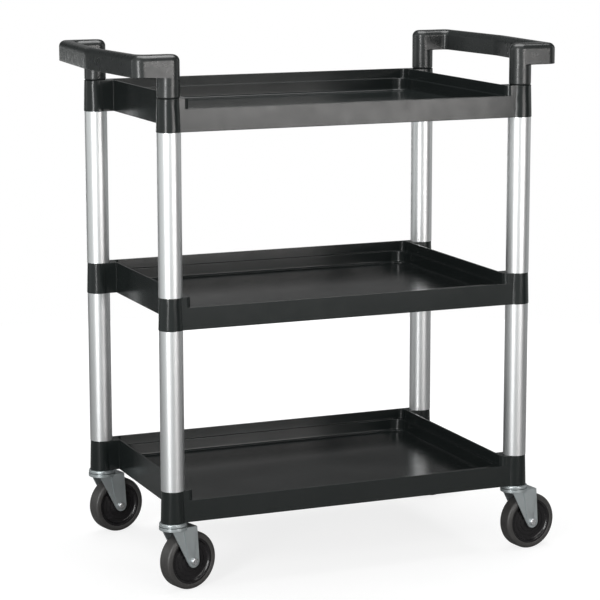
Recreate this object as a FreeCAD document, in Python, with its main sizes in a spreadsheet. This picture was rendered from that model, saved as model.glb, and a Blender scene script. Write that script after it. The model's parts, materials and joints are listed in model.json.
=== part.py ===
import FreeCAD, Part
import math
import os
import Sketcher

# Food service trolley: three moulded trays on four tubular posts, a push handle
# at each end and four swivel casters. Millimetres, +Z up. The origin is on the
# floor under the middle of the trolley, +X runs along it towards one handle, and
# -Y is the loading side, where the tray rims are low.

DIMENSIONS = [
    # frame
    ("post_span_x", 642), ("post_span_y", 388),
    ("tube_radius", 20), ("tube_bore_radius", 18.5), ("overlap", 1),
    ("bottom_shelf_z", 120), ("shelf_pitch", 327), ("shelf_height", 55),
    # tray moulding
    ("long_wall_offset", 14), ("end_wall_inset", 28), ("corner_block_depth", 32),
    ("wall_thickness", 4), ("ledge_drop", 17.5), ("ledge_width", 6),
    ("deck_drop", 40), ("deck_thickness", 3.5),
    ("rim_corner_radius", 10), ("deck_corner_radius", 24), ("deck_edge_radius", 5),
    ("collar_foot_radius", 21), ("collar_taper", 1.7),
    ("spigot_radius", 18.4), ("spigot_length", 25), ("core_bore_radius", 9),
    ("rib_thickness", 2.5), ("rib_set_back", 2),
    # handles
    ("leg_radius", 19), ("leg_height", 35), ("leg_foot_round", 3),
    ("bar_height", 36), ("bar_width", 24), ("handle_reach", 63), ("handle_bow", 15),
    ("bar_corner_radius", 18), ("bar_inner_radius", 10), ("bow_radius", 150),
    ("bar_top_radius", 11), ("leg_end_radius", 18.9),
    ("handle_spigot_radius", 13.9), ("handle_spigot_length", 22), ("spigot_play", 0.1),
    ("socket_floor_gap", 0.5), ("screw_hole_end", 6),
    ("screw_radius", 2.9), ("screw_head_radius", 7.5), ("screw_head_height", 4),
    ("screw_length", 76), ("screw_hole_radius", 3.1), ("screw_seat_z", 16),
    # caster: the swivel stack
    ("stem_radius", 5.5), ("stem_length", 32), ("socket_radius", 8.9),
    ("socket_bore_radius", 5.6), ("socket_length", 36), ("stem_bore_depth", 38),
    ("race_radius", 23.5), ("race_thickness", 4), ("race_skirt_drop", 6),
    ("race_skirt_wall", 2.8), ("race_shoulder", 1.5),
    ("crown_top_z", 110.8), ("crown_thickness", 3.3), ("crown_radius", 24),
    ("crown_rim_height", 2.2), ("rivet_radius", 8.5), ("rivet_thickness", 3.4),
    ("axial_play", 0.3), ("running_play", 0.08),
    ("ball_radius", 2.3), ("ball_path_radius", 14.5), ("ball_count", 12),
    ("cage_half_width", 2), ("cage_thickness", 0.8),
    # caster: fork, axle and wheel
    ("trail", 29), ("wheel_radius", 50), ("fork_gap", 31.2), ("leg_thickness", 2.5),
    ("web_start_x", -15), ("web_end_x", 36), ("rib_start_x", 8), ("rib_rise", 1.2),
    ("fork_bend_radius", 2),
    ("eye_radius", 11), ("axle_radius", 4), ("axle_hole_radius", 4.1),
    ("axle_head_radius", 6.2), ("axle_head_height", 3.6), ("axle_head_round", 1.5),
    ("nut_width", 13),
    ("nut_height", 5), ("axle_thread_end", 2), ("bush_radius", 6),
    ("bush_bore_radius", 4.05), ("bush_length", 31),
    ("hub_radius", 13), ("hub_width", 29.2), ("web_inner_radius", 15.5),
    ("web_outer_radius", 34.5), ("web_inner_width", 21), ("web_outer_width", 18),
    ("rim_inner_radius", 36.5), ("rim_width", 25), ("tyre_bore_radius", 40),
    ("tyre_seat_width", 27), ("tyre_width", 28), ("tyre_flank_radius", 43),
    ("tyre_shoulder", 6),
    # rest headings of the casters, turned from +X towards +Y
    ("yaw_fl", 16), ("yaw_fr", 7), ("yaw_bl", 13), ("yaw_br", 10),
]

CORNERS = {"fl": (-1, -1), "fr": (1, -1), "bl": (-1, 1), "br": (1, 1)}
CROSS_RIBS = (-3, -2, -1, 0, 1, 2, 3)
LONG_RIBS = (-2, -1, 0, 1, 2)

doc = FreeCAD.newDocument("food_service_trolley")
sheet = doc.addObject("Spreadsheet::Sheet", "Dimensions")
for row, (alias, size) in enumerate(DIMENSIONS, start=1):
    sheet.set("A%d" % row, alias)
    sheet.set("B%d" % row, str(size))
    sheet.setAlias("B%d" % row, alias)
doc.recompute()


def dim(formula):
    """Turn a formula on dimension names into one on the sheet's cells."""
    for alias in sorted((name for name, _ in DIMENSIONS), key=len, reverse=True):
        formula = formula.replace("$" + alias, "Dimensions." + alias)
    return formula


def value(formula):
    """The number that a formula gives now."""
    return float(sheet.evalExpression(dim(formula)))


# ---- sketches and features -------------------------------------------------

def new_body(name):
    body = doc.addObject("PartDesign::Body", name)
    body.Label = name
    return body


def new_sketch(body, name, role, offset="0"):
    plane = next(item for item in body.Origin.OriginFeatures if item.Role == role)
    sketch = body.newObject("Sketcher::SketchObject", body.Name + "_" + name)
    sketch.AttachmentSupport = [(plane, "")]
    sketch.MapMode = "FlatFace"
    sketch.setExpression("AttachmentOffset.Base.z", dim(offset))
    return sketch


def constrain(sketch, kind, *references, formula):
    index = sketch.addConstraint(Sketcher.Constraint(kind, *references, value(formula)))
    sketch.setExpression("Constraints[%d]" % index, dim(formula))


def pin_point(sketch, edge, end, x, y):
    """Tie one point of a sketch to its x and y formulas."""
    if x == "0":
        sketch.addConstraint(Sketcher.Constraint("PointOnObject", edge, end, -2))
    else:
        constrain(sketch, "DistanceX", -1, 1, edge, end, formula=x)
    if y == "0":
        sketch.addConstraint(Sketcher.Constraint("PointOnObject", edge, end, -1))
    else:
        constrain(sketch, "DistanceY", -1, 1, edge, end, formula=y)


def draw_outline(sketch, points):
    """A closed straight-sided outline through points given as formulas."""
    spots = [FreeCAD.Vector(value(x), value(y), 0) for x, y in points]
    count = len(spots)
    first = sketch.GeometryCount
    for index in range(count):
        sketch.addGeometry(Part.LineSegment(spots[index], spots[(index + 1) % count]))
    for index in range(count):
        following = first + (index + 1) % count
        sketch.addConstraint(
            Sketcher.Constraint("Coincident", first + index, 2, following, 1))
    for index, (x, y) in enumerate(points):
        pin_point(sketch, first + index, 1, x, y)


def draw_rectangle(sketch, left, right, low, high):
    draw_outline(sketch, [(left, low), (right, low), (right, high), (left, high)])


def draw_circle(sketch, x, y, radius):
    centre = FreeCAD.Vector(value(x), value(y), 0)
    edge = sketch.addGeometry(Part.Circle(centre, FreeCAD.Vector(0, 0, 1), value(radius)))
    pin_point(sketch, edge, 3, x, y)
    constrain(sketch, "Radius", edge, formula=radius)


def draw_at_posts(sketch, radius):
    for side_x, side_y in CORNERS.values():
        draw_circle(sketch, "%d * $post_span_x / 2" % side_x,
                    "%d * $post_span_y / 2" % side_y, radius)


def add_feature(body, kind, name, sketch, **sizes):
    feature = body.newObject("PartDesign::" + kind, body.Name + "_" + name)
    feature.Profile = sketch
    sketch.Visibility = False
    for size, formula in sizes.items():
        feature.setExpression(size, dim(formula))
    return feature


def pad(body, name, sketch, length, down=False):
    feature = add_feature(body, "Pad", name, sketch, Length=length)
    feature.Reversed = down
    doc.recompute()
    return feature


def pocket(body, name, sketch, depth, up=False):
    """Cut from the sketch against its plane's direction, or along it if up."""
    before = body.Shape.Volume
    feature = add_feature(body, "Pocket", name, sketch, Length=depth)
    feature.Reversed = up
    doc.recompute()
    if body.Shape.Volume >= before:
        raise ValueError(feature.Name + " cuts nothing")
    return feature


def revolve(body, name, sketch):
    feature = add_feature(body, "Revolution", name, sketch)
    feature.ReferenceAxis = (sketch, ["V_Axis"])
    feature.Angle = 360
    doc.recompute()
    return feature


def fillet(body, name, radius, chosen):
    """Round those edges of the body for which chosen(edge) is true."""
    base = body.Tip
    edges = ["Edge%d" % number for number, edge in enumerate(base.Shape.Edges, start=1)
             if chosen(edge)]
    feature = body.newObject("PartDesign::Fillet", body.Name + "_" + name)
    feature.Base = (base, edges)
    feature.setExpression("Radius", dim(radius))
    doc.recompute()
    return feature


def mirror(body, name, feature, role):
    plane = next(item for item in body.Origin.OriginFeatures if item.Role == role)
    copy = body.newObject("PartDesign::Mirrored", body.Name + "_" + name)
    copy.Originals = [feature]
    copy.MirrorPlane = (plane, [""])
    body.Tip = copy
    doc.recompute()
    return copy


def place(body, x="0", y="0", z="0", turn="0"):
    body.setExpression("Placement.Base.x", dim(x))
    body.setExpression("Placement.Base.y", dim(y))
    body.setExpression("Placement.Base.z", dim(z))
    body.setExpression("Placement.Rotation.Angle", dim(turn))
    doc.recompute()


# ---- edge tests ------------------------------------------------------------

def near(first, second):
    return abs(first - second) < 0.01


def upright(edge):
    box = edge.BoundBox
    return near(box.XLength, 0) and near(box.YLength, 0) and box.ZLength > 0.1


def level_at(edge, height):
    box = edge.BoundBox
    return near(box.ZMin, height) and near(box.ZMax, height)


# ---- trays -----------------------------------------------------------------

def shelf(name, level, handle_spigots=False, caster_bores=False):
    """One tray moulding with its four corner collars; its foot is at z = 0."""
    body = new_body(name)
    post_x = "$post_span_x / 2"
    post_y = "$post_span_y / 2"
    long_wall = "(%s + $long_wall_offset)" % post_y
    end_wall = "(%s - $end_wall_inset)" % post_x
    deck_z = "($shelf_height - $deck_drop)"

    block = new_sketch(body, "block_outline", "XY_Plane")
    draw_rectangle(block, "-%s" % post_x, post_x, "-" + long_wall, long_wall)
    pad(body, "block", block, "$shelf_height")

    recess = new_sketch(body, "end_recess_outline", "XY_Plane", "$shelf_height")
    half_recess = "(%s - $corner_block_depth)" % long_wall
    draw_rectangle(recess, end_wall, post_x + " + $overlap", "-" + half_recess, half_recess)
    cut = pocket(body, "end_recess", recess, "$shelf_height")
    mirror(body, "end_recesses", cut, "YZ_Plane")

    rim = new_sketch(body, "rim_outline", "XY_Plane", "$shelf_height")
    rim_x = "(%s - $wall_thickness)" % end_wall
    rim_y = "(%s - $wall_thickness)" % long_wall
    draw_rectangle(rim, "-" + rim_x, rim_x, "-%s - $overlap" % long_wall, rim_y)
    pocket(body, "rim_space", rim, "$ledge_drop")
    fillet(body, "rim_corners", "$rim_corner_radius", lambda edge: upright(edge)
           and near(abs(edge.BoundBox.Center.x), value(rim_x)))

    well = new_sketch(body, "well_outline", "XY_Plane", "$shelf_height - $ledge_drop")
    well_x = "(%s - $ledge_width)" % rim_x
    well_y = "(%s - $ledge_width)" % rim_y
    draw_rectangle(well, "-" + well_x, well_x, "-" + well_y, well_y)
    pocket(body, "well", well, "$deck_drop - $ledge_drop")
    fillet(body, "well_corners", "$deck_corner_radius", lambda edge: upright(edge)
           and near(abs(edge.BoundBox.Center.x), value(well_x)))
    fillet(body, "deck_edge", "$deck_edge_radius", lambda edge: level_at(edge, value(deck_z)))

    collars = new_sketch(body, "collar_circles", "XY_Plane")
    draw_at_posts(collars, "$collar_foot_radius")
    pad(body, "collars", collars, "$shelf_height")
    body.Tip.TaperAngle = -value("$collar_taper")

    hollow = new_sketch(body, "underside_outline", "XY_Plane")
    draw_rectangle(hollow, "-" + rim_x, rim_x, "-" + rim_y, rim_y)
    pocket(body, "underside", hollow, deck_z + " - $deck_thickness", up=True)

    across = new_sketch(body, "cross_rib_outlines", "XY_Plane", "$rib_set_back")
    for step in CROSS_RIBS:
        middle = "%d * %s / %d" % (step, rim_x, max(CROSS_RIBS) + 1)
        draw_rectangle(across, middle + " - $rib_thickness / 2", middle + " + $rib_thickness / 2",
                       "-%s - $overlap" % rim_y, rim_y + " + $overlap")
    pad(body, "cross_ribs", across, deck_z + " - $rib_set_back - $deck_thickness / 2")

    along = new_sketch(body, "long_rib_outlines", "XY_Plane", "$rib_set_back")
    for step in LONG_RIBS:
        middle = "%d * %s / %d" % (step, rim_y, max(LONG_RIBS) + 1)
        draw_rectangle(along, "-%s - $overlap" % rim_x, rim_x + " + $overlap",
                       middle + " - $rib_thickness / 2", middle + " + $rib_thickness / 2")
    pad(body, "long_ribs", along, deck_z + " - $rib_set_back - $deck_thickness / 2")

    upper = new_sketch(body, "upper_spigot_circles", "XY_Plane", "$shelf_height - $overlap")
    upper_radius = "$handle_spigot_radius" if handle_spigots else "$spigot_radius"
    upper_length = "$handle_spigot_length" if handle_spigots else "$spigot_length"
    draw_at_posts(upper, upper_radius)
    pad(body, "upper_spigots", upper, upper_length + " + $overlap")

    if caster_bores:
        bores = new_sketch(body, "caster_bore_circles", "XY_Plane")
        draw_at_posts(bores, "$core_bore_radius")
        pocket(body, "caster_bores", bores, "$stem_bore_depth", up=True)
    else:
        lower = new_sketch(body, "lower_spigot_circles", "XY_Plane", "$overlap")
        draw_at_posts(lower, "$spigot_radius")
        pad(body, "lower_spigots", lower, "$spigot_length + $overlap", down=True)
        core_top = "$screw_seat_z" if handle_spigots else "$shelf_height + $spigot_length"
        cores = new_sketch(body, "core_circles", "XY_Plane", "-$spigot_length")
        draw_at_posts(cores, "$core_bore_radius")
        pocket(body, "cores", cores, "$spigot_length + " + core_top, up=True)

    if handle_spigots:
        holes = new_sketch(body, "screw_hole_circles", "XY_Plane", "$screw_seat_z - $overlap")
        draw_at_posts(holes, "$screw_hole_radius")
        pocket(body, "screw_holes", holes, "$shelf_height + $handle_spigot_length", up=True)

    place(body, z="$bottom_shelf_z + %d * $shelf_pitch" % level)
    return body


# ---- posts -----------------------------------------------------------------

def post_tube(name, corner, level):
    side_x, side_y = CORNERS[corner]
    body = new_body(name)
    rings = new_sketch(body, "section", "XY_Plane")
    draw_circle(rings, "0", "0", "$tube_radius")
    draw_circle(rings, "0", "0", "$tube_bore_radius")
    pad(body, "length", rings, "$shelf_pitch - $shelf_height")
    place(body, "%d * $post_span_x / 2" % side_x, "%d * $post_span_y / 2" % side_y,
          "$bottom_shelf_z + $shelf_height + %d * $shelf_pitch" % level)
    return body


# ---- handles ---------------------------------------------------------------

def handle(name, side):
    """A bowed push bar on two legs; the legs stand on the line x = 0."""
    body = new_body(name)
    half_span = "$post_span_y / 2"
    outer_y = "(%s + $leg_radius)" % half_span
    inner_y = "(%s - $leg_radius)" % half_span
    inner_x = "($handle_reach - $bar_width)"

    plan = new_sketch(body, "bar_outline", "XY_Plane", "$leg_height")
    draw_outline(plan, [
        ("-$leg_radius", "-" + outer_y), ("$handle_reach", "-" + outer_y),
        ("$handle_reach + $handle_bow", "0"), ("$handle_reach", outer_y),
        ("-$leg_radius", outer_y), ("-$leg_radius", inner_y), (inner_x, inner_y),
        (inner_x + " + $handle_bow", "0"), (inner_x, "-" + inner_y),
        ("-$leg_radius", "-" + inner_y)])
    pad(body, "bar", plan, "$bar_height")
    fillet(body, "leg_ends", "$leg_end_radius", lambda edge: upright(edge)
           and near(edge.BoundBox.Center.x, value("-$leg_radius")))
    fillet(body, "outer_corners", "$bar_corner_radius", lambda edge: upright(edge)
           and near(edge.BoundBox.Center.x, value("$handle_reach")))
    fillet(body, "inner_corners", "$bar_inner_radius", lambda edge: upright(edge)
           and near(edge.BoundBox.Center.x, value(inner_x)))
    fillet(body, "bow", "$bow_radius", lambda edge: upright(edge)
           and near(edge.BoundBox.Center.y, 0))
    fillet(body, "top_edges", "$bar_top_radius", lambda edge:
           level_at(edge, value("$leg_height + $bar_height")))

    legs = new_sketch(body, "leg_circles", "XY_Plane")
    for turn in (-1, 1):
        draw_circle(legs, "0", "%d * %s" % (turn, half_span), "$leg_radius")
    pad(body, "legs", legs, "$leg_height + $overlap")
    fillet(body, "leg_feet", "$leg_foot_round", lambda edge: level_at(edge, 0))

    sockets = new_sketch(body, "socket_circles", "XY_Plane")
    holes = new_sketch(body, "screw_hole_circles", "XY_Plane")
    for turn in (-1, 1):
        draw_circle(sockets, "0", "%d * %s" % (turn, half_span),
                    "$handle_spigot_radius + $spigot_play")
        draw_circle(holes, "0", "%d * %s" % (turn, half_span), "$screw_hole_radius")
    pocket(body, "sockets", sockets, "$handle_spigot_length + $socket_floor_gap", up=True)
    pocket(body, "screw_holes", holes, "$leg_height + $screw_hole_end", up=True)

    place(body, "%d * $post_span_x / 2" % side, "0",
          "$bottom_shelf_z + 2 * $shelf_pitch + $shelf_height", "0" if side > 0 else "180")
    return body


def handle_screw(name, corner):
    side_x, side_y = CORNERS[corner]
    body = new_body(name)
    half = new_sketch(body, "half_section", "XZ_Plane")
    draw_outline(half, [
        ("0", "-$screw_head_height"), ("$screw_head_radius", "-$screw_head_height"),
        ("$screw_head_radius", "0"), ("$screw_radius", "0"),
        ("$screw_radius", "$screw_length"), ("0", "$screw_length")])
    revolve(body, "turned", half)
    place(body, "%d * $post_span_x / 2" % side_x, "%d * $post_span_y / 2" % side_y,
          "$bottom_shelf_z + 2 * $shelf_pitch + $screw_seat_z")
    return body


# ---- casters ---------------------------------------------------------------

def place_at_swivel(body, corner, turned=True):
    side_x, side_y = CORNERS[corner]
    place(body, "%d * $post_span_x / 2" % side_x, "%d * $post_span_y / 2" % side_y, "0",
          "$yaw_" + corner if turned else "0")


def place_at_axle(body, corner):
    side_x, side_y = CORNERS[corner]
    yaw = "$yaw_" + corner
    place(body,
          "%d * $post_span_x / 2 + $trail * cos(%s * 1deg)" % (side_x, yaw),
          "%d * $post_span_y / 2 + $trail * sin(%s * 1deg)" % (side_y, yaw),
          "$wheel_radius", yaw)


def stem_socket(name, corner):
    """The bush in the tray collar that grips a caster stem."""
    body = new_body(name)
    rings = new_sketch(body, "section", "XY_Plane", "$bottom_shelf_z")
    draw_circle(rings, "0", "0", "$socket_radius")
    draw_circle(rings, "0", "0", "$socket_bore_radius")
    pad(body, "length", rings, "$socket_length")
    place_at_swivel(body, corner, turned=False)
    return body


def swivel_head(name, corner):
    """Stem, upper race and kingpin rivet: the half of the swivel that stays still."""
    body = new_body(name)
    top = "$bottom_shelf_z"
    under_plate = "(%s - $race_thickness)" % top
    skirt_foot = "(%s - $race_skirt_drop)" % top
    skirt_inside = "($race_radius - $race_skirt_wall)"
    rivet_top = "($crown_top_z - $crown_thickness - $axial_play)"
    half = new_sketch(body, "half_section", "XZ_Plane")
    draw_outline(half, [
        ("0", rivet_top + " - $rivet_thickness"),
        ("$rivet_radius", rivet_top + " - $rivet_thickness"),
        ("$rivet_radius", rivet_top), ("$stem_radius", rivet_top),
        ("$stem_radius", under_plate), (skirt_inside, under_plate),
        (skirt_inside, skirt_foot), ("$race_radius", skirt_foot),
        ("$race_radius", top + " - $race_shoulder"),
        ("$race_radius - $race_shoulder", top), ("$stem_radius", top),
        ("$stem_radius", top + " + $stem_length"), ("0", top + " + $stem_length")])
    revolve(body, "turned", half)
    place_at_swivel(body, corner, turned=False)
    return body


def bearing(name, corner):
    """The ring of balls in its cage between the two races."""
    body = new_body(name)
    middle = "(($crown_top_z + $bottom_shelf_z - $race_thickness) / 2)"
    rings = new_sketch(body, "cage_section", "XY_Plane", middle + " - $cage_thickness / 2")
    draw_circle(rings, "0", "0", "$ball_path_radius + $cage_half_width")
    draw_circle(rings, "0", "0", "$ball_path_radius - $cage_half_width")
    pad(body, "cage", rings, "$cage_thickness")
    ball = body.newObject("PartDesign::AdditiveSphere", name + "_ball")
    ball.setExpression("Radius", dim("$ball_radius"))
    ball.setExpression("Placement.Base.x", dim("$ball_path_radius"))
    ball.setExpression("Placement.Base.z", dim(middle))
    doc.recompute()
    ring = body.newObject("PartDesign::PolarPattern", name + "_balls")
    ring.Originals = [ball]
    axis = next(item for item in body.Origin.OriginFeatures if item.Role == "Z_Axis")
    ring.Axis = (axis, [""])
    ring.Angle = 360
    ring.setExpression("Occurrences", dim("$ball_count"))
    body.Tip = ring
    doc.recompute()
    place_at_swivel(body, corner, turned=False)
    return body


def draw_fork_side(sketch, start_x):
    """Side view of a fork leg: from the crown down to the round eye at the axle."""
    top = value("$crown_top_z")
    eye = FreeCAD.Vector(value("$trail"), value("$wheel_radius"), 0)
    left = FreeCAD.Vector(value(start_x), top, 0)
    right = FreeCAD.Vector(value("$web_end_x"), top, 0)
    circle = Part.Circle(eye, FreeCAD.Vector(0, 0, 1), value("$eye_radius"))
    round_end = Part.ArcOfCircle(circle, math.radians(216), math.radians(365))
    sketch.addGeometry(Part.LineSegment(left, right))
    sketch.addGeometry(Part.LineSegment(right, round_end.EndPoint))
    sketch.addGeometry(round_end)
    sketch.addGeometry(Part.LineSegment(round_end.StartPoint, left))
    sketch.addConstraint(Sketcher.Constraint("Coincident", 0, 2, 1, 1))
    sketch.addConstraint(Sketcher.Constraint("Coincident", 3, 2, 0, 1))
    sketch.addConstraint(Sketcher.Constraint("Tangent", 1, 2, 2, 2))
    sketch.addConstraint(Sketcher.Constraint("Tangent", 3, 1, 2, 1))
    pin_point(sketch, 0, 1, start_x, "$crown_top_z")
    pin_point(sketch, 0, 2, "$web_end_x", "$crown_top_z")
    pin_point(sketch, 2, 3, "$trail", "$wheel_radius")
    constrain(sketch, "Radius", 2, formula="$eye_radius")


def fork(name, corner):
    """Crown, lower race and two legs: the half of the swivel that turns."""
    body = new_body(name)
    half_gap = "$fork_gap / 2"
    crown_foot = "$crown_top_z - $crown_thickness"

    disc = new_sketch(body, "crown_disc", "XY_Plane", crown_foot)
    draw_circle(disc, "0", "0", "$crown_radius")
    pad(body, "crown", disc, "$crown_thickness")
    bridge = new_sketch(body, "bridge_outline", "XY_Plane", crown_foot)
    outside = "(%s + $leg_thickness)" % half_gap
    draw_rectangle(bridge, "0", "$web_end_x", "-" + outside, outside)
    pad(body, "bridge", bridge, "$crown_thickness")

    web = new_sketch(body, "web_outline", "XZ_Plane", half_gap)
    draw_fork_side(web, "$web_start_x")
    leg = pad(body, "leg", web, "$leg_thickness")
    mirror(body, "legs", leg, "XZ_Plane")
    fillet(body, "bend", "$fork_bend_radius", lambda edge: level_at(edge, value("$crown_top_z"))
           and near(edge.BoundBox.YLength, 0) and edge.BoundBox.XLength > 5
           and near(abs(edge.BoundBox.Center.y), value(outside)))
    rib = new_sketch(body, "rib_outline", "XZ_Plane", half_gap + " + $leg_thickness")
    draw_fork_side(rib, "$rib_start_x")
    raised = pad(body, "rib", rib, "$rib_rise")
    mirror(body, "ribs", raised, "XZ_Plane")

    rim = new_sketch(body, "lower_race_section", "XY_Plane", "$crown_top_z - $overlap")
    draw_circle(rim, "0", "0", "$crown_radius")
    draw_circle(rim, "0", "0", "$crown_radius - $race_skirt_wall")
    pad(body, "lower_race", rim, "$crown_rim_height + $overlap")

    hole = new_sketch(body, "kingpin_hole_circle", "XY_Plane", "$crown_top_z + $overlap")
    draw_circle(hole, "0", "0", "$stem_radius + $running_play")
    pocket(body, "kingpin_hole", hole, "$crown_thickness + 2 * $overlap")
    holes = new_sketch(body, "axle_hole_circle", "XZ_Plane", "-$fork_gap")
    draw_circle(holes, "$trail", "$wheel_radius", "$axle_hole_radius")
    pocket(body, "axle_holes", holes, "2 * $fork_gap", up=True)
    place_at_swivel(body, corner)
    return body


def axle_bolt(name, corner):
    body = new_body(name)
    leg_face = "($fork_gap / 2 + $leg_thickness + $rib_rise)"
    half = new_sketch(body, "half_section", "XY_Plane")
    draw_outline(half, [
        ("0", "-%s - $axle_head_height" % leg_face),
        ("$axle_head_radius", "-%s - $axle_head_height" % leg_face),
        ("$axle_head_radius", "-" + leg_face), ("$axle_radius", "-" + leg_face),
        ("$axle_radius", leg_face + " + $nut_height + $axle_thread_end"),
        ("0", leg_face + " + $nut_height + $axle_thread_end")])
    revolve(body, "turned", half)
    fillet(body, "head_round", "$axle_head_round", lambda edge: near(
        edge.BoundBox.YMin, -value(leg_face + " + $axle_head_height"))
        and near(edge.BoundBox.YLength, 0) and edge.BoundBox.XLength > 5)
    place_at_axle(body, corner)
    return body


def axle_nut(name, corner):
    body = new_body(name)
    leg_face = "($fork_gap / 2 + $leg_thickness + $rib_rise)"
    section = new_sketch(body, "section", "XZ_Plane", "-" + leg_face)
    flat = "($nut_width / 2)"
    point = "($nut_width / 2 / cos(30deg))"
    half_flat = "($nut_width / 2 * tan(30deg))"
    draw_outline(section, [
        (point, "0"), (half_flat, flat), ("-" + half_flat, flat),
        ("-" + point, "0"), ("-" + half_flat, "-" + flat), (half_flat, "-" + flat)])
    draw_circle(section, "0", "0", "$axle_radius")
    pad(body, "length", section, "$nut_height", down=True)
    place_at_axle(body, corner)
    return body


def axle_bush(name, corner):
    body = new_body(name)
    rings = new_sketch(body, "section", "XZ_Plane", "-$bush_length / 2")
    draw_circle(rings, "0", "0", "$bush_radius")
    draw_circle(rings, "0", "0", "$bush_bore_radius")
    pad(body, "length", rings, "$bush_length")
    place_at_axle(body, corner)
    return body


def revolve_about_axle(body, half_profile):
    """Turn a profile, given for one side of the wheel, with its mirror image."""
    half = new_sketch(body, "half_section", "XY_Plane")
    other_side = [(radius, "-" + width) for radius, width in reversed(half_profile)]
    draw_outline(half, half_profile + other_side)
    revolve(body, "turned", half)


def wheel_core(name, corner):
    body = new_body(name)
    revolve_about_axle(body, [
        ("$bush_radius + $running_play", "$hub_width / 2"),
        ("$hub_radius", "$hub_width / 2"),
        ("$web_inner_radius", "$web_inner_width / 2"),
        ("$web_outer_radius", "$web_outer_width / 2"),
        ("$rim_inner_radius", "$rim_width / 2"),
        ("$tyre_bore_radius", "$rim_width / 2")])
    place_at_axle(body, corner)
    return body


def tyre(name, corner):
    body = new_body(name)
    revolve_about_axle(body, [
        ("$tyre_bore_radius", "$tyre_seat_width / 2"),
        ("$tyre_flank_radius", "$tyre_width / 2"),
        ("$wheel_radius", "$tyre_width / 2")])
    fillet(body, "shoulders", "$tyre_shoulder", lambda edge:
           near(edge.BoundBox.ZMax, value("$wheel_radius")) and near(edge.BoundBox.YLength, 0))
    place_at_axle(body, corner)
    return body


# ---- the trolley -----------------------------------------------------------

def build():
    parts = [
        shelf("shelf_bottom", 0, caster_bores=True),
        shelf("shelf_middle", 1),
        shelf("shelf_top", 2, handle_spigots=True),
        handle("handle_right", 1),
        handle("handle_left", -1),
    ]
    for corner in CORNERS:
        parts += [
            post_tube("tube_lower_" + corner, corner, 0),
            post_tube("tube_upper_" + corner, corner, 1),
            handle_screw("handle_screw_" + corner, corner),
            stem_socket("stem_socket_" + corner, corner),
            swivel_head("swivel_head_" + corner, corner),
            bearing("bearing_" + corner, corner),
            fork("fork_" + corner, corner),
            axle_bolt("axle_bolt_" + corner, corner),
            axle_nut("axle_nut_" + corner, corner),
            axle_bush("axle_bush_" + corner, corner),
            wheel_core("wheel_core_" + corner, corner),
            tyre("tyre_" + corner, corner),
        ]
    return parts


def check(parts):
    doc.recompute()
    for item in doc.Objects:
        if "Invalid" in item.State or "Error" in item.State:
            raise ValueError("%s failed: %s" % (item.Name, item.State))
    for part in parts:
        if part.Shape.isNull() or not part.Shape.isValid():
            raise ValueError(part.Label + " has no valid shape")
        if len(part.Shape.Solids) != 1:
            raise ValueError("%s has %d solids" % (part.Label, len(part.Shape.Solids)))


def export(parts):
    os.makedirs("parts", exist_ok=True)
    for part in parts:
        part.Shape.exportStep("parts/%s.step" % part.Label)


trolley = build()
check(trolley)
export(trolley)
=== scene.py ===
import json
import math

import bmesh
import bpy
from mathutils import Matrix, Vector
from mathutils.bvhtree import BVHTree


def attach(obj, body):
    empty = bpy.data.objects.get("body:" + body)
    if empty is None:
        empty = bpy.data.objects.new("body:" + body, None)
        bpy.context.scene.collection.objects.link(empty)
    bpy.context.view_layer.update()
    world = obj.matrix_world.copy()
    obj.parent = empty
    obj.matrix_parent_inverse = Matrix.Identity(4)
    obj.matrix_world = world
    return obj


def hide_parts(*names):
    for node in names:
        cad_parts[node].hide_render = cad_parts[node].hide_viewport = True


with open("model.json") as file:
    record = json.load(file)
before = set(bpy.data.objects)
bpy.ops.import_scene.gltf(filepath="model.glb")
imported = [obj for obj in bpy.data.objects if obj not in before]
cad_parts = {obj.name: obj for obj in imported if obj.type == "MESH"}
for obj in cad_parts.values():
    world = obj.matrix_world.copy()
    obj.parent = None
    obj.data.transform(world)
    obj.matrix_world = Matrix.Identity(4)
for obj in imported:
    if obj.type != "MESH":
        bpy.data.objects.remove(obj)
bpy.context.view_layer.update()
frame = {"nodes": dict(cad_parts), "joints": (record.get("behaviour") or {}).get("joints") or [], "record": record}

# Food service trolley: three black moulded trays on satin aluminium posts, a bowed
# push handle at each end and four zinc-plated swivel casters. Metres, +Z up.

CORNERS = ("fl", "fr", "bl", "br")
SLOTS = {row["node"]: row["material_slot"] for row in frame["record"]["subparts"]}
BODIES = {node: body for body, nodes in frame["record"]["behaviour"]["bodies"].items()
          for node in nodes}
JOINTS = {joint["name"]: joint for joint in frame["joints"]}


# ---- materials -------------------------------------------------------------

def map_range(tree, value, low, high, from_value=0.0, to_value=1.0):
    """A value, taken from low..high and clamped to from_value..to_value."""
    mapped = tree.nodes.new("ShaderNodeMapRange")
    mapped.inputs["From Min"].default_value = low
    mapped.inputs["From Max"].default_value = high
    mapped.inputs["To Min"].default_value = from_value
    mapped.inputs["To Max"].default_value = to_value
    tree.links.new(value, mapped.inputs["Value"])
    return mapped.outputs["Result"]


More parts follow.
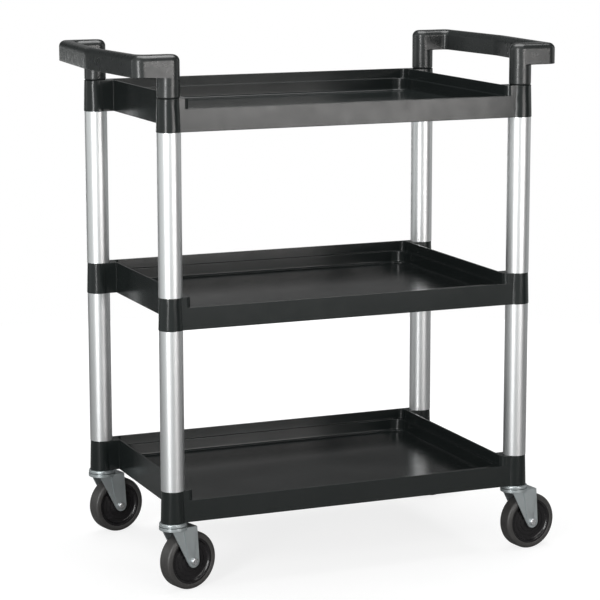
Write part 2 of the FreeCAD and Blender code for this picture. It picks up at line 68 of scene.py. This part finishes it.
class Surface:
    """A material under construction: a Principled shader and the nodes that feed it."""

    def __init__(self, name, colour, roughness, metallic=0.0, **sockets):
        self.material = bpy.data.materials.new(name)
        self.material.use_nodes = True
        self.tree = self.material.node_tree
        self.shader = self.tree.nodes["Principled BSDF"]
        self.shader.inputs["Base Color"].default_value = (*colour, 1.0)
        self.shader.inputs["Roughness"].default_value = roughness
        self.shader.inputs["Metallic"].default_value = metallic
        for socket, amount in sockets.items():
            self.shader.inputs[socket.replace("_", " ")].default_value = amount
        self.place = self.tree.nodes.new("ShaderNodeTexCoord").outputs["Object"]

    def stretched(self, scale):
        """Object coordinates, scaled by (x, y, z)."""
        mapping = self.tree.nodes.new("ShaderNodeMapping")
        mapping.inputs["Scale"].default_value = scale
        self.tree.links.new(self.place, mapping.inputs["Vector"])
        return mapping.outputs["Vector"]

    def noise(self, scale, detail=3.0, rough=0.5, stretch=(1, 1, 1)):
        texture = self.tree.nodes.new("ShaderNodeTexNoise")
        texture.inputs["Scale"].default_value = scale
        texture.inputs["Detail"].default_value = detail
        texture.inputs["Roughness"].default_value = rough
        self.tree.links.new(self.stretched(stretch), texture.inputs["Vector"])
        return texture.outputs["Fac"]

    def ramp(self, value, low, high, from_value=0.0, to_value=1.0):
        return map_range(self.tree, value, low, high, from_value, to_value)

    def tint(self, factor, colour):
        """Mix the base colour towards another by a factor from 0 to 1."""
        mix = self.tree.nodes.new("ShaderNodeMix")
        mix.data_type = "RGBA"
        base = self.shader.inputs["Base Color"]
        mix.inputs["A"].default_value = base.default_value
        mix.inputs["B"].default_value = (*colour, 1.0)
        self.tree.links.new(factor, mix.inputs["Factor"])
        self.tree.links.new(mix.outputs["Result"], base)

    def vary_roughness(self, value):
        self.tree.links.new(value, self.shader.inputs["Roughness"])

    def bump(self, value, height):
        """Raise the surface by value times height, in metres, on top of earlier bumps."""
        relief = self.tree.nodes.new("ShaderNodeBump")
        relief.inputs["Distance"].default_value = height
        relief.inputs["Strength"].default_value = 1.0
        self.tree.links.new(value, relief.inputs["Height"])
        normal = self.shader.inputs["Normal"]
        if normal.is_linked:
            self.tree.links.new(normal.links[0].from_socket, relief.inputs["Normal"])
        self.tree.links.new(relief.outputs["Normal"], normal)


def tray_plastic():
    """Glossy moulded polypropylene, very slightly wavy."""
    made = Surface("tray_plastic", (0.0078, 0.0100, 0.0098), 0.22, IOR=1.36)
    made.tint(made.ramp(made.noise(7.0), 0.35, 0.7, 0.0, 0.6), (0.0108, 0.0128, 0.0126))
    made.vary_roughness(made.ramp(made.noise(38.0, 5.0, 0.6), 0.3, 0.75, 0.19, 0.25))
    made.bump(made.noise(4.5, 1.0), 0.0026)
    made.bump(made.noise(900.0, 2.0), 0.00001)
    return made.material


def handle_plastic():
    """The handles' polypropylene, with a finer satin grain."""
    made = Surface("handle_plastic", (0.0115, 0.0130, 0.0130), 0.3, IOR=1.5)
    made.tint(made.ramp(made.noise(18.0), 0.35, 0.7, 0.0, 0.6), (0.0155, 0.0172, 0.0172))
    made.vary_roughness(made.ramp(made.noise(90.0, 5.0), 0.3, 0.7, 0.25, 0.34))
    made.bump(made.noise(1400.0, 2.0), 0.00002)
    return made.material


def post_aluminium():
    """Satin anodised tube with faint drawing lines along its length."""
    made = Surface("post_aluminium", (0.67, 0.675, 0.68), 0.38, metallic=1.0)
    lines = made.noise(1.0, 3.0, 0.6, stretch=(900.0, 900.0, 6.0))
    made.tint(made.ramp(lines, 0.3, 0.7, 0.0, 0.35), (0.59, 0.60, 0.61))
    made.vary_roughness(made.ramp(lines, 0.3, 0.7, 0.35, 0.44))
    made.bump(lines, 0.00001)
    return made.material


def zinc_steel():
    """Clear-passivated zinc on pressed steel, satin and faintly cloudy."""
    made = Surface("zinc_steel", (0.50, 0.54, 0.55), 0.34, metallic=0.85)
    cloud = made.noise(55.0, 3.0, 0.5)
    made.tint(made.ramp(cloud, 0.35, 0.7, 0.0, 0.5), (0.42, 0.46, 0.47))
    made.vary_roughness(made.ramp(cloud, 0.3, 0.7, 0.28, 0.38))
    made.bump(made.noise(420.0, 2.0), 0.00001)
    return made.material


def fastener_steel():
    """Zinc-plated screws, bolts, nuts and bearings, with a fine grain."""
    made = Surface("fastener_steel", (0.70, 0.71, 0.72), 0.28, metallic=1.0)
    grain = made.noise(700.0, 4.0)
    made.tint(made.ramp(grain, 0.35, 0.7, 0.0, 0.5), (0.52, 0.53, 0.54))
    made.vary_roughness(made.ramp(grain, 0.3, 0.7, 0.22, 0.38))
    made.bump(grain, 0.00002)
    return made.material


def bush_plastic():
    """Natural nylon of the stem sockets and axle bushes."""
    made = Surface("bush_plastic", (0.72, 0.71, 0.66), 0.45)
    made.tint(made.ramp(made.noise(250.0), 0.3, 0.7, 0.0, 0.5), (0.62, 0.60, 0.55))
    made.bump(made.noise(1500.0, 2.0), 0.00002)
    return made.material


def wheel_plastic():
    """The wheel centre's hard black plastic, polished by its mould."""
    made = Surface("wheel_plastic", (0.0085, 0.008, 0.0085), 0.22, IOR=1.4)
    made.tint(made.ramp(made.noise(60.0), 0.3, 0.7, 0.0, 0.6), (0.013, 0.012, 0.013))
    made.vary_roughness(made.ramp(made.noise(200.0, 5.0), 0.3, 0.7, 0.15, 0.28))
    made.bump(made.noise(600.0, 2.0), 0.00002)
    return made.material


def tyre_rubber():
    """Dark grey thermoplastic rubber with rolled-in dust on the tread."""
    made = Surface("tyre_rubber", (0.032, 0.0305, 0.0295), 0.46)
    dust = made.ramp(made.noise(110.0, 6.0, 0.7), 0.4, 0.75, 0.0, 0.7)
    made.tint(dust, (0.046, 0.044, 0.0425))
    made.vary_roughness(made.ramp(made.noise(300.0, 5.0), 0.3, 0.7, 0.34, 0.52))
    made.bump(made.noise(800.0, 4.0), 0.00004)
    return made.material


MATERIALS = {maker.__name__: maker() for maker in (
    tray_plastic, handle_plastic, post_aluminium, zinc_steel, fastener_steel,
    bush_plastic, wheel_plastic, tyre_rubber)}


def finish_frame():
    """Give every CAD node the material of its slot in the record."""
    for name, slot in SLOTS.items():
        for place in frame["nodes"][name].material_slots:
            place.material = MATERIALS[slot]


# ---- pieces ----------------------------------------------------------------

MERGE_DISTANCE = 1e-6
COPLANAR_ANGLE = math.radians(0.8)
SHARP_ANGLE = math.radians(32.0)       # edges sharper than this are rounded
SMOOTH_ANGLE = math.radians(38.0)      # edges flatter than this are shaded smooth
ROUNDING_STEPS = 3
FACE_ROOM = 2.2        # mean depth that a face needs beside a rounded edge, in radii
STRAY_LIMIT = 0.6      # how far a corner may lie off the node's surface, in radii
FLAT_FACE_WEIGHT = 80

SHELF_ROUNDING = 0.0009
HANDLE_ROUNDING = 0.0012
FORK_ROUNDING = 0.0006
SWIVEL_HEAD_ROUNDING = 0.0005

SHELF_FEET = {"bottom": 0.120, "middle": 0.447, "top": 0.774}
STEP_NEAR, STEP_FAR = 0.262, 0.312     # where a front rim steps down beside a corner, along X
STEP_FRONT = -0.190
# half lengths along X and Y, corner radius, and heights of foot and head above the tray's foot
INNER_WALLS = ((0.283, 0.198, 0.024, 0.020, 0.0375), (0.289, 0.204, 0.010, 0.0375, 0.055))
OPEN_FRONT_FOOT = 0.03                 # walls with a foot above this have no front side
DRAFT = math.radians(1.5)
HEIGHT_SLACK = 1e-5
WALL_SLACK = 1e-4
FRONT_END_DEPTH = 0.0065               # an end wall's front end, back from the front's line


def shade(shape):
    """Mark the edges of a bmesh that are shaded smooth."""
    for edge in shape.edges:
        edge.smooth = edge.calc_face_angle(0.0) < SMOOTH_ANGLE


def add_piece(name, mesh, node):
    """A smooth-shaded piece that stands for a CAD node, on its body and in its finish."""
    mesh.materials.clear()
    mesh.materials.append(MATERIALS[SLOTS[node]])
    mesh.polygons.foreach_set("use_smooth", [True] * len(mesh.polygons))
    piece = bpy.data.objects.new(name, mesh)
    bpy.context.scene.collection.objects.link(piece)
    shading = piece.modifiers.new("flat_faces_stay_flat", "WEIGHTED_NORMAL")
    shading.keep_sharp = True
    shading.weight = FLAT_FACE_WEIGHT
    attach(piece, BODIES[node])
    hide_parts(node)


def by_front_step(edge):
    """Whether an edge is where a tray's front rim steps down beside a corner."""
    middle = (edge.verts[0].co + edge.verts[1].co) / 2
    return STEP_NEAR < abs(middle.x) < STEP_FAR and middle.y < STEP_FRONT


def lean_out(shape, foot):
    """Give a tray's inner walls the draft of a moulding, above the height of its foot."""
    slope = math.tan(DRAFT)
    for corner in shape.verts:
        x, y, height = abs(corner.co.x), abs(corner.co.y), corner.co.z - foot
        for half_x, half_y, round_off, low, high in INNER_WALLS:
            if not low + HEIGHT_SLACK < height < high + HEIGHT_SLACK:
                continue
            open_front = low > OPEN_FRONT_FOOT and corner.co.y < 0
            out_x = x - min(x, half_x - round_off)
            out_y = 0.0 if open_front else y - min(y, half_y - round_off)
            distance = math.hypot(out_x, out_y)
            shift = slope * (height - low)
            if abs(distance - round_off) < WALL_SLACK:
                corner.co.x += math.copysign(shift * out_x / distance, corner.co.x)
                corner.co.y += math.copysign(shift * out_y / distance, corner.co.y)
            elif (open_front and y > half_y - FRONT_END_DEPTH
                  and half_x < x < half_x + round_off):
                fade = 1 - (x - half_x) / round_off
                corner.co.x += math.copysign(shift * fade, corner.co.x)


def rounded(node, radius, skip=lambda edge: False, foot=None):
    """A copy of a CAD node whose sharp edges are rounded, where both faces have room.
    A corner that the rounding throws off the node's surface is put back on it.
    A tray is given with its foot's height, and gets its draft first."""
    shape = bmesh.new()
    shape.from_mesh(frame["nodes"][node].data)
    bmesh.ops.remove_doubles(shape, verts=shape.verts, dist=MERGE_DISTANCE)
    if foot is not None:
        lean_out(shape, foot)
    bmesh.ops.dissolve_limit(shape, angle_limit=COPLANAR_ANGLE, use_dissolve_boundaries=False,
                             verts=shape.verts, edges=shape.edges)
    edges = [edge for edge in shape.edges
             if edge.calc_face_angle(0.0) > SHARP_ANGLE and not skip(edge)
             and (min(face.calc_area() for face in edge.link_faces)
                  > FACE_ROOM * radius * edge.calc_length())]
    bmesh.ops.triangulate(shape, faces=shape.faces)
    surface = BVHTree.FromBMesh(shape)
    bmesh.ops.bevel(shape, geom=edges, offset=radius, offset_type="OFFSET",
                    segments=ROUNDING_STEPS, profile=0.5, affect="EDGES",
                    clamp_overlap=False, loop_slide=True)
    for corner in shape.verts:
        nearest, _, _, distance = surface.find_nearest(corner.co)
        if distance > STRAY_LIMIT * radius:
            corner.co = nearest
    shade(shape)
    mesh = bpy.data.meshes.new(node + "_rounded")
    shape.to_mesh(mesh)
    shape.free()
    add_piece(node + "_rounded", mesh, node)


# ---- wheels: turned shapes, whose profiles are (radius, width) in millimetres ----

MM_PER_M = 1000
TURNED_STEPS = 96
WEB_FOOT, WEB_HEAD = (15.5, 10.5), (34.5, 9.0)         # the core's dished web
RING_RADII = (19.5, 27.0)                              # moulded rings raised on the web
RING_HEIGHT, RING_HALF, RING_FLAT = 0.7, 0.9, 0.55     # the last is a share of the half
HUB = [(13.3, 11.4), (14.2, 10.7), (15.5, 10.5)]
RIM = [(32.6, 9.15), (34.0, 9.3), (34.9, 9.9), (35.6, 10.9)]
TYRE_SHOULDER = [(42.2, 13.95), (43.4, 14.0), (43.7, 13.6), (44.1, 13.6), (44.3, 13.95)]
TREAD = [(49.95, 7.4), (49.98, 4.0), (50.0, 0.5)]


def lathe(node, joint, half_profile):
    """A turned shape about a wheel's axle, from the profile of one side and its mirror."""
    centre = Vector(JOINTS[joint]["pos_m"])
    along = Vector(JOINTS[joint]["axis"]).normalized()
    out = along.orthogonal().normalized()
    profile = half_profile + [(radius, -width) for radius, width in reversed(half_profile)]
    points = []
    for step in range(TURNED_STEPS):
        spoke = Matrix.Rotation(2 * math.pi * step / TURNED_STEPS, 3, along) @ out
        points += [tuple(centre + spoke * (radius / MM_PER_M) + along * (width / MM_PER_M))
                   for radius, width in profile]
    count = len(profile)
    faces = []
    for step in range(TURNED_STEPS):
        here, there = step * count, (step + 1) % TURNED_STEPS * count
        for index in range(count):
            after = (index + 1) % count
            faces.append((here + index, there + index, there + after, here + after))
    mesh = bpy.data.meshes.new(node + "_turned")
    mesh.from_pydata(points, [], faces)
    shape = bmesh.new()
    shape.from_mesh(mesh)
    bmesh.ops.recalc_face_normals(shape, faces=shape.faces)
    shade(shape)
    shape.to_mesh(mesh)
    shape.free()
    add_piece(node + "_turned", mesh, node)


def arc(centre, radius, start, end, steps=5):
    """Points of a circular arc in a profile, in degrees from outwards to the axle's direction."""
    angles = [math.radians(start + (end - start) * step / steps) for step in range(steps + 1)]
    return [(centre[0] + radius * math.cos(angle), centre[1] + radius * math.sin(angle))
            for angle in angles]


def raised_ring(radius, width):
    """A rounded moulded ring on a wheel's web, whose surface is at the width given."""
    return [(radius - RING_HALF, width), (radius - RING_HALF * RING_FLAT, width + RING_HEIGHT),
            (radius + RING_HALF * RING_FLAT, width + RING_HEIGHT), (radius + RING_HALF, width)]


def web_width(radius):
    """Half the thickness of the wheel's dished web at a radius."""
    (inner, inner_width), (outer, outer_width) = WEB_FOOT, WEB_HEAD
    return inner_width + (outer_width - inner_width) * (radius - inner) / (outer - inner)


def wheel(corner):
    """The core and tyre of one caster's wheel."""
    joint = "wheel_spin_" + corner
    core = [(6.1, 14.4), (6.5, 14.6)] + arc((12.2, 13.8), 0.8, 90, 0) + HUB
    for ring in RING_RADII:
        core += raised_ring(ring, web_width(ring))
    core += RIM + arc((37.1, 11.7), 0.8, 180, 90) + [(40.0, 12.5)]
    lathe("wheel_core_" + corner, joint, core)
    tyre = [(40.0, 13.2)] + arc((40.7, 13.2), 0.6, 180, 90) + TYRE_SHOULDER
    tyre += arc((44.3, 8.3), 5.65, 88, 8, 9) + TREAD
    lathe("tyre_" + corner, joint, tyre)


def build_pieces():
    for level, foot in SHELF_FEET.items():
        rounded("shelf_" + level, SHELF_ROUNDING, skip=by_front_step, foot=foot)
    for side in ("left", "right"):
        rounded("handle_" + side, HANDLE_ROUNDING)
    for corner in CORNERS:
        wheel(corner)
        rounded("fork_" + corner, FORK_ROUNDING)
        rounded("swivel_head_" + corner, SWIVEL_HEAD_ROUNDING)


# ---- studio ----------------------------------------------------------------

WHITE = (1.0, 1.0, 1.0, 1.0)
ROOM_TINT = (0.96, 1.0, 0.99, 1.0)
BRIGHT_SIDE = (-0.78, -0.63, 0.0)      # the direction, from the trolley, of the bright side
# brightness of the room from the side opposite the bright one (0) to the bright side (1)
BELOW_HORIZON = [(0.0, 0.5), (0.22, 0.5), (0.31, 0.06), (0.4, 0.06), (0.56, 0.5),
                 (0.75, 0.9), (1.0, 0.9)]
ABOVE_HORIZON = [(0.0, 0.025), (0.42, 0.07), (0.54, 0.3), (0.75, 0.72), (1.0, 0.8)]
HORIZON = (-0.02, 0.08)                # the rise of a direction over which they blend

FLOOR_RADIUS = 2.2
FLOOR_SIDES = 96
FLOOR_TONES = [(0.3, 0.20), (0.7, 0.22)]
GLOW_RANGE = (0.5, 2.0)                # distances from the trolley over which the glow rises
GLOW = (0.80, 1.0)

AT_TOP_TRAY = (0, 0, 0.8)              # where the lights point
AT_MIDDLE = (0, 0, 0.45)
PLAIN, WARM = (1.0, 1.0, 1.0), (1.0, 0.965, 0.95)
# name, place, aim, width, height, power in watts, colour
SOFTBOXES = (
    ("key_left", (-2.55, -2.32, 1.35), (0, 0, 0.9), 0.6, 2.5, 84, PLAIN),
    ("key_low", (1.15, -3.2, 0.54), AT_TOP_TRAY, 1.4, 0.3, 18, WARM),
    ("key_high", (1.15, -3.2, 1.34), AT_TOP_TRAY, 1.4, 0.5, 24, WARM),
    ("top", (0.2, 0.3, 3.0), AT_MIDDLE, 2.2, 1.8, 72, PLAIN),
    ("behind", (1.25, 3.2, 1.5), AT_TOP_TRAY, 3.0, 0.8, 2.4, PLAIN),
    ("side_left", (-3.2, 2.2, 1.4), AT_MIDDLE, 1.2, 1.6, 7, PLAIN),
    ("side_right", (3.4, -0.2, 1.4), AT_MIDDLE, 1.2, 1.6, 7, PLAIN),
    ("glint", (-0.72, 3.2, 0.33), (-0.39, 0, 0.85), 0.25, 0.5, 1.3, PLAIN),
)

CAMERA_PLACE = (-1.565, -3.725, 1.174)
CAMERA_YAW, CAMERA_PITCH, CAMERA_ROLL = 22.68, 10.27, 0.08     # degrees
CAMERA_LENS, CAMERA_SENSOR = 138.6, 36.0                       # millimetres


def grey_steps(tree, value, steps):
    """A brightness that follows a value from 0 to 1 through (position, brightness) steps."""
    ramp = tree.nodes.new("ShaderNodeValToRGB")
    elements = ramp.color_ramp.elements
    while len(elements) < len(steps):
        elements.new(0.5)
    for element, (position, brightness) in zip(elements, steps):
        element.position = position
        element.color = (brightness, brightness, brightness, 1.0)
    tree.links.new(value, ramp.inputs["Fac"])
    return ramp.outputs["Color"]


def only_for_camera(tree, others, seen):
    """A shader that the camera sees as one thing and the other rays as another."""
    choose = tree.nodes.new("ShaderNodeMixShader")
    is_camera_ray = tree.nodes.new("ShaderNodeLightPath").outputs["Is Camera Ray"]
    tree.links.new(is_camera_ray, choose.inputs["Fac"])
    tree.links.new(others, choose.inputs[1])
    tree.links.new(seen, choose.inputs[2])
    return choose.outputs["Shader"]


def studio_floor():
    """A round grey floor, which takes a faint shadow and bounces little light up. A glow
    that only the camera sees makes it as white as the backdrop."""
    material = bpy.data.materials.new("studio_floor")
    material.use_nodes = True
    tree = material.node_tree
    paint = tree.nodes["Principled BSDF"]
    paint.inputs["Roughness"].default_value = 0.6
    grain = tree.nodes.new("ShaderNodeTexNoise")
    grain.inputs["Scale"].default_value = 3.0
    place = tree.nodes.new("ShaderNodeTexCoord").outputs["Object"]
    tree.links.new(place, grain.inputs["Vector"])
    tree.links.new(grey_steps(tree, grain.outputs["Fac"], FLOOR_TONES),
                   paint.inputs["Base Color"])
    length = tree.nodes.new("ShaderNodeVectorMath")
    length.operation = "LENGTH"
    tree.links.new(place, length.inputs[0])
    glow = tree.nodes.new("ShaderNodeEmission")
    tree.links.new(map_range(tree, length.outputs["Value"], *GLOW_RANGE, *GLOW),
                   glow.inputs["Strength"])
    glowing = tree.nodes.new("ShaderNodeAddShader")
    tree.links.new(paint.outputs["BSDF"], glowing.inputs[0])
    tree.links.new(glow.outputs["Emission"], glowing.inputs[1])
    tree.links.new(only_for_camera(tree, paint.outputs["BSDF"], glowing.outputs["Shader"]),
                   tree.nodes["Material Output"].inputs["Surface"])
    shape = bmesh.new()
    bmesh.ops.create_circle(shape, cap_ends=True, segments=FLOOR_SIDES, radius=FLOOR_RADIUS)
    mesh = bpy.data.meshes.new("floor")
    shape.to_mesh(mesh)
    shape.free()
    mesh.materials.append(material)
    floor = bpy.data.objects.new("floor", mesh)
    bpy.context.scene.collection.objects.link(floor)


def softbox(name, place, aim, width, height, power, colour):
    """A rectangular light that the camera doesn't see."""
    data = bpy.data.lights.new(name, "AREA")
    data.shape = "RECTANGLE"
    data.size, data.size_y = width, height
    data.energy = power
    data.color = colour
    lamp = bpy.data.objects.new(name, data)
    lamp.location = place
    lamp.visible_camera = False
    lamp.rotation_euler = (Vector(aim) - Vector(place)).to_track_quat("-Z", "Y").to_euler()
    bpy.context.scene.collection.objects.link(lamp)


def studio_room():
    """A white backdrop for the camera. Other rays meet a room that is bright towards the
    bright side and dark across from it, and medium below the horizon on the far side."""
    world = bpy.data.worlds.new("studio")
    world.use_nodes = True
    tree = world.node_tree
    direction = tree.nodes.new("ShaderNodeTexCoord").outputs["Generated"]
    facing = tree.nodes.new("ShaderNodeVectorMath")
    facing.operation = "DOT_PRODUCT"
    facing.inputs[1].default_value = BRIGHT_SIDE
    tree.links.new(direction, facing.inputs[0])
    side = map_range(tree, facing.outputs["Value"], -1.0, 1.0)
    split = tree.nodes.new("ShaderNodeSeparateXYZ")
    tree.links.new(direction, split.inputs["Vector"])
    mix = tree.nodes.new("ShaderNodeMix")
    mix.data_type = "RGBA"
    tree.links.new(map_range(tree, split.outputs["Z"], *HORIZON), mix.inputs["Factor"])
    tree.links.new(grey_steps(tree, side, BELOW_HORIZON), mix.inputs["A"])
    tree.links.new(grey_steps(tree, side, ABOVE_HORIZON), mix.inputs["B"])
    room = tree.nodes["Background"]
    room.inputs["Color"].default_value = ROOM_TINT
    tree.links.new(mix.outputs["Result"], room.inputs["Strength"])
    backdrop = tree.nodes.new("ShaderNodeBackground")
    backdrop.inputs["Color"].default_value = WHITE
    tree.links.new(only_for_camera(tree, room.outputs["Background"],
                                   backdrop.outputs["Background"]),
                   tree.nodes["World Output"].inputs["Surface"])
    bpy.context.scene.world = world


def camera():
    """The photo's viewing angle, without shift or depth of field."""
    data = bpy.data.cameras.new("camera")
    data.sensor_width = CAMERA_SENSOR
    data.lens = CAMERA_LENS
    view = bpy.data.objects.new("camera", data)
    view.location = CAMERA_PLACE
    yaw, pitch, roll = map(math.radians, (CAMERA_YAW, CAMERA_PITCH, CAMERA_ROLL))
    view.rotation_euler = (math.pi / 2 - pitch, roll, -yaw)
    bpy.context.scene.collection.objects.link(view)
    bpy.context.scene.camera = view
    bpy.context.scene.view_settings.view_transform = "Standard"


finish_frame()
build_pieces()
studio_floor()
for spec in SOFTBOXES:
    softbox(*spec)
studio_room()
camera()
